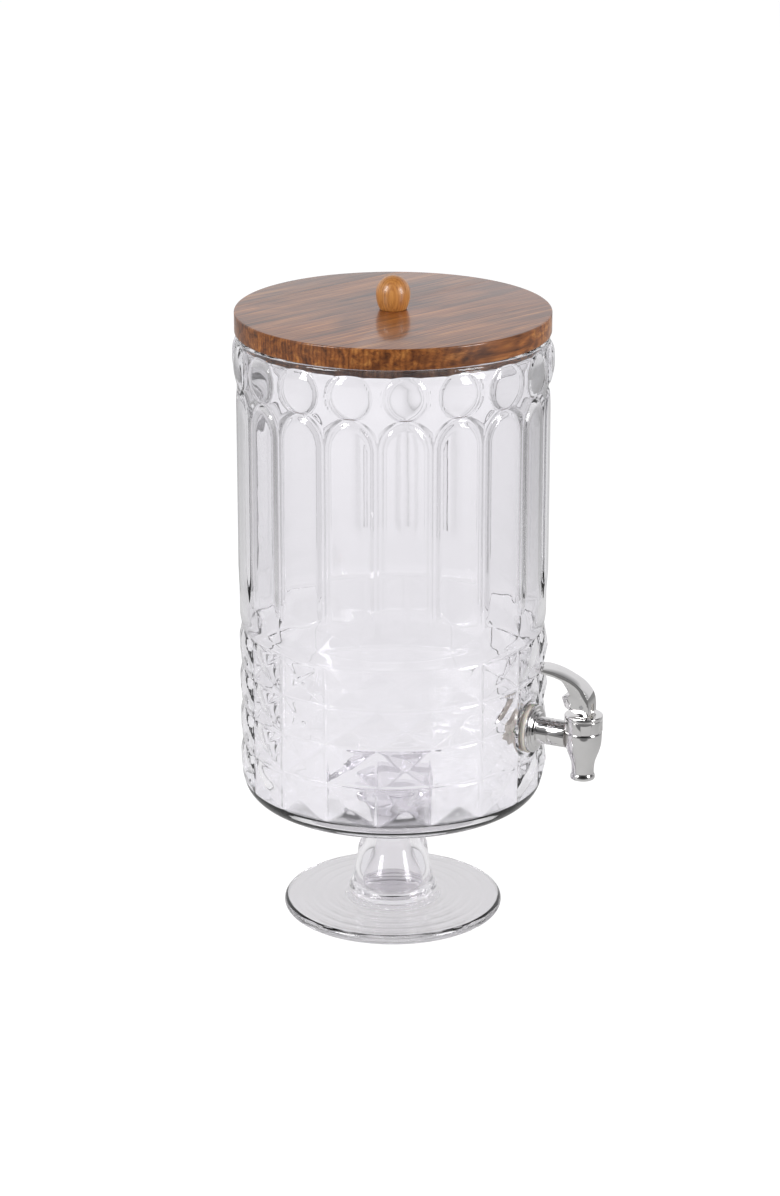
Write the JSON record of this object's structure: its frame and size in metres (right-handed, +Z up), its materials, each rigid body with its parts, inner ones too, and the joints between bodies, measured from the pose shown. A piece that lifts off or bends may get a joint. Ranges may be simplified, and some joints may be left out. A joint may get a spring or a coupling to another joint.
{
  "type": "drinks dispenser jar",
  "caption": "Clear embossed glass drinks dispenser on a glass pedestal, with a wooden lid and ball knob and a chrome lever tap that opens as the lever is lifted.",
  "frame": {"origin": "centre of the foot's flat underside, on the jar's axis", "axes": "+Z up along the jar's axis, -Y out through the tap, +X to the right when facing the tap from the front"},
  "size_m": [0.1742, 0.2142, 0.367],
  "materials": {
    "jar": "clear pressed glass, glossy, embossed",
    "pedestal_stem": "clear pressed glass, glossy",
    "pedestal_foot": "clear pressed glass, glossy",
    "lid_stave_1": "brown hardwood under a glossy varnish",
    "lid_stave_2": "brown hardwood under a glossy varnish",
    "lid_stave_3": "brown hardwood under a glossy varnish",
    "lid_stave_4": "brown hardwood under a glossy varnish",
    "lid_plug": "brown hardwood, varnished",
    "lid_knob": "paler hardwood, satin varnish",
    "knob_screw": "plain steel",
    "tap_shank": "mirror chrome plating",
    "tap_body": "mirror chrome plating",
    "outer_gasket": "milky translucent silicone",
    "inner_gasket": "milky translucent silicone",
    "lock_nut": "white moulded plastic",
    "bonnet": "mirror chrome plating",
    "seat_plug": "milky silicone",
    "valve_stem": "white moulded plastic",
    "stem_seal": "milky silicone",
    "return_spring": "stainless wire",
    "lever": "mirror chrome plating",
    "lever_pin": "bright steel"
  },
  "bodies": {
    "vessel": {"jar": "jar", "pedestal_stem": "pedestal_stem", "pedestal_foot": "pedestal_foot", "tap_shank": "tap_shank", "tap_body": "tap_body", "outer_gasket": "outer_gasket", "inner_gasket": "inner_gasket", "lock_nut": "lock_nut", "bonnet": "bonnet", "stem_seal": "stem_seal", "return_spring": "return_spring"},
    "lid": {"lid_stave_1": "lid_stave_1", "lid_stave_2": "lid_stave_2", "lid_stave_3": "lid_stave_3", "lid_stave_4": "lid_stave_4", "lid_plug": "lid_plug", "lid_knob": "lid_knob", "knob_screw": "knob_screw"},
    "valve_seat": {"seat_plug": "seat_plug"},
    "valve_rod": {"valve_stem": "valve_stem", "lever_pin": "lever_pin"},
    "lever": {"lever": "lever"}
  },
  "joints": [
    {"name": "lid_lift", "type": "slide", "parent": "vessel", "child": "lid", "axis": [0, 0, 1], "range_m": [0, 0.12]},
    {"name": "valve_lift", "type": "slide", "parent": "vessel", "child": "valve_seat", "axis": [0, 0, 1], "range_m": [0, 0.003], "stiffness_N_per_m": 300, "springref_m": -0.003, "deforming": ["return_spring"]},
    {"name": "lever_swivel", "type": "hinge", "parent": "valve_seat", "child": "valve_rod", "pos_m": [0, -0.1155, 0.1385], "axis": [0, 0, 1], "continuous": true},
    {"name": "lever_rock", "type": "hinge", "parent": "valve_rod", "child": "lever", "pos_m": [0, -0.1155, 0.1385], "axis": [1, 0, 0], "range_deg": [0, 60]}
  ],
  "couplings": [
    {"joint": "lever_rock", "follows": "valve_lift", "rad_per_m": 349}
  ]
}
